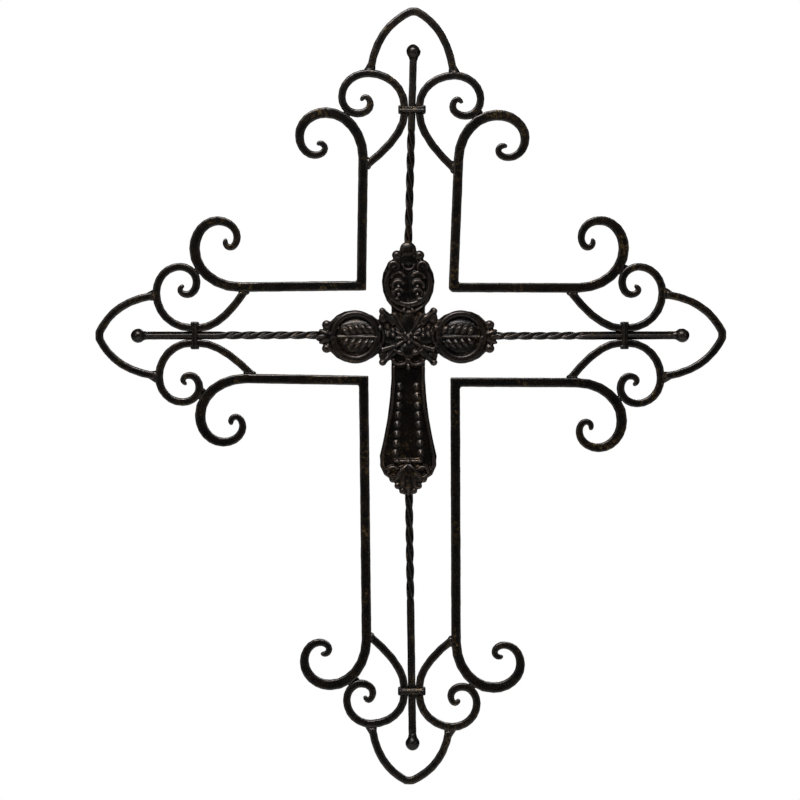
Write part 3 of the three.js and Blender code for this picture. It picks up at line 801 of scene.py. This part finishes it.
def iron_finish(name, dark, brown, gilt, rubbed_and_highlit):
    """Blackened iron: brown patina over black, sponged with gilt, its high edges lighter as rubbed wear and
    painted highlight, and painted shade in its hollows where reflections are turned down.
    """
    material = bpy.data.materials.new(name)
    material.use_nodes = True
    tree = material.node_tree
    shader = tree.nodes["Principled BSDF"]
    shader.inputs["Metallic"].default_value = METALLIC
    shader.inputs["IOR"].default_value = 1.5

    broad = noise(tree, BROAD_SCALE, 5, 0.65)
    patches = noise(tree, PATCH_SCALE, 3, 0.6)
    sponge = noise(tree, SPONGE_SCALE, 7, 0.75)
    grain = noise(tree, GRAIN_SCALE, 4, 0.6)
    patina = mix(tree, ramp(tree, broad.outputs["Fac"], ((0.4, 0.0), (0.62, 1.0))), dark, brown)
    flecks = ramp(tree, sponge.outputs["Fac"], ((0.51, 0.0), (0.67, 1.0)))
    where = ramp(tree, patches.outputs["Fac"], ((0.49, 0.06), (0.63, 1.0)))
    share = tree.nodes.new("ShaderNodeMath")
    share.operation = "MULTIPLY"
    tree.links.new(flecks, share.inputs[0])
    tree.links.new(where, share.inputs[1])
    sponged = mix(tree, share.outputs["Value"], patina, gilt)
    geometry = tree.nodes.new("ShaderNodeNewGeometry")
    # Convex edges found by pointiness get a lighter colour: partly the finish's real rubbed wear, partly a
    # painted highlight along the edges
    edges = ramp(tree, geometry.outputs["Pointiness"], ((0.505, 0.0), (0.56, 1.0)))
    worn_and_highlit = mix(tree, edges, sponged, rubbed_and_highlit)
    tree.links.new(worn_and_highlit, shader.inputs["Base Color"])

    # Painted shade: reflections are turned far down in hollows found by pointiness, and a little up on edges
    # as a painted sheen
    hollow_shade_and_edge_sheen = ramp(tree, geometry.outputs["Pointiness"], ((0.46, 0.06), (0.53, 0.6)))
    tree.links.new(hollow_shade_and_edge_sheen, shader.inputs["Specular IOR Level"])
    rough = ramp(tree, sponge.outputs["Fac"], ((0.3, 0.38), (0.7, 0.22)))
    tree.links.new(rough, shader.inputs["Roughness"])
    bump = node_of(tree, "ShaderNodeBump", Strength=0.2, Distance=0.3 * MM)
    tree.links.new(grain.outputs["Fac"], bump.inputs["Height"])
    pits = node_of(tree, "ShaderNodeBump", Strength=0.3, Distance=0.5 * MM)
    tree.links.new(sponge.outputs["Fac"], pits.inputs["Height"])
    tree.links.new(bump.outputs["Normal"], pits.inputs["Normal"])
    tree.links.new(pits.outputs["Normal"], shader.inputs["Normal"])
    return material


# Studio: camera square to the cross, soft light from above, a pale floor below the picture

PICTURE_WIDTH = 880 * MM
PICTURE_CENTRE = Vector((-15.3, 0, -423.4)) * MM
CAMERA_DISTANCE = 3500 * MM
SENSOR = 36
FLOOR_DROP = 330 * MM
FLOOR_RADIUS = 2000 * MM
WHITE_SEEN = 1.0
WHITE_MIRRORED = 0.025

# Lights: each one's place from the picture's middle and its size in metres, and its power in watts
LIGHTS = {
    "overhead": ((-0.35, -1.3, 1.55), (1.15, 0.46), 74),
    "left_front": ((-1.9, -2.2, 0.6), (0.6, 1.4), 9),
    "right_front": ((2.0, -1.8, 0.3), (0.5, 1.4), 6),
    "behind": ((0.9, 2.2, 1.3), (1.6, 1.0), 35),
}


def set_camera():
    data = bpy.data.cameras.new("camera")
    data.sensor_width = SENSOR
    data.lens = SENSOR * CAMERA_DISTANCE / PICTURE_WIDTH
    camera = bpy.data.objects.new("camera", data)
    bpy.context.collection.objects.link(camera)
    camera.location = PICTURE_CENTRE - Vector((0, CAMERA_DISTANCE, 0))
    camera.rotation_euler = (math.pi / 2, 0, 0)
    bpy.context.scene.camera = camera


def soft_light(name, place, size, power):
    data = bpy.data.lights.new(name, "AREA")
    data.shape = "RECTANGLE"
    data.size, data.size_y = size
    data.energy = power
    light = bpy.data.objects.new(name, data)
    bpy.context.collection.objects.link(light)
    light.location = PICTURE_CENTRE + Vector(place)
    light.rotation_euler = (-Vector(place)).to_track_quat("-Z", "Y").to_euler()


def set_world():
    """White behind the cross, and a dimmer grey for what its iron mirrors."""
    world = bpy.data.worlds.new("studio")
    bpy.context.scene.world = world
    world.use_nodes = True
    tree = world.node_tree
    background = tree.nodes["Background"]
    background.inputs["Color"].default_value = (1, 1, 1, 1)
    path = tree.nodes.new("ShaderNodeLightPath")
    strength = tree.nodes.new("ShaderNodeMapRange")
    strength.inputs["To Min"].default_value = WHITE_MIRRORED
    strength.inputs["To Max"].default_value = WHITE_SEEN
    tree.links.new(path.outputs["Is Camera Ray"], strength.inputs["Value"])
    tree.links.new(strength.outputs["Result"], background.inputs["Strength"])


def set_floor():
    bpy.ops.object.select_all(action="DESELECT")
    bpy.ops.mesh.primitive_circle_add(
        vertices=96, radius=FLOOR_RADIUS, fill_type="NGON",
        location=(PICTURE_CENTRE.x, 0, CAD_BOX[0][2] - FLOOR_DROP),
    )
    floor = bpy.context.object
    floor.name = "floor"
    settle(floor)
    material = bpy.data.materials.new("pale_floor")
    material.use_nodes = True
    shader = material.node_tree.nodes["Principled BSDF"]
    shader.inputs["Base Color"].default_value = (0.93, 0.93, 0.92, 1)
    shader.inputs["Roughness"].default_value = 0.7
    floor.data.materials.append(material)


# Each finish's edge colour is partly real rubbed wear and partly a painted highlight on the edges
bar_iron = iron_finish(
    "blackened_bar", dark=(0.0024, 0.0021, 0.0023), brown=(0.0085, 0.0058, 0.0042),
    gilt=(0.135, 0.088, 0.036), rubbed_and_highlit=(0.028, 0.023, 0.020),
)
cast_iron = iron_finish(
    "blackened_casting", dark=(0.0014, 0.0011, 0.0011), brown=(0.0050, 0.0033, 0.0025),
    gilt=(0.07, 0.045, 0.022), rubbed_and_highlit=(0.058, 0.041, 0.033),
)

bars = {
    name: forge_bar(name, bar_iron)
    for name in sorted(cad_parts) if name.startswith(("frame_", "scroll_", "arch_"))
}
make_welds(bars, bar_iron)
ball_model = model_ball()
collar_model = model_collar()
for arm in ARMS:
    make_rod(arm, bar_iron)
    set_ball(ball_model, arm, bar_iron)
    set_collar(collar_model, arm, bar_iron)
make_medallion(cast_iron)
for model in (OVAL, ball_model, collar_model):
    bpy.data.objects.remove(model)

set_camera()
for name, (place, size, power) in LIGHTS.items():
    soft_light(name, place, size, power)
set_world()
set_floor()
bpy.context.scene.view_settings.view_transform = "Standard"
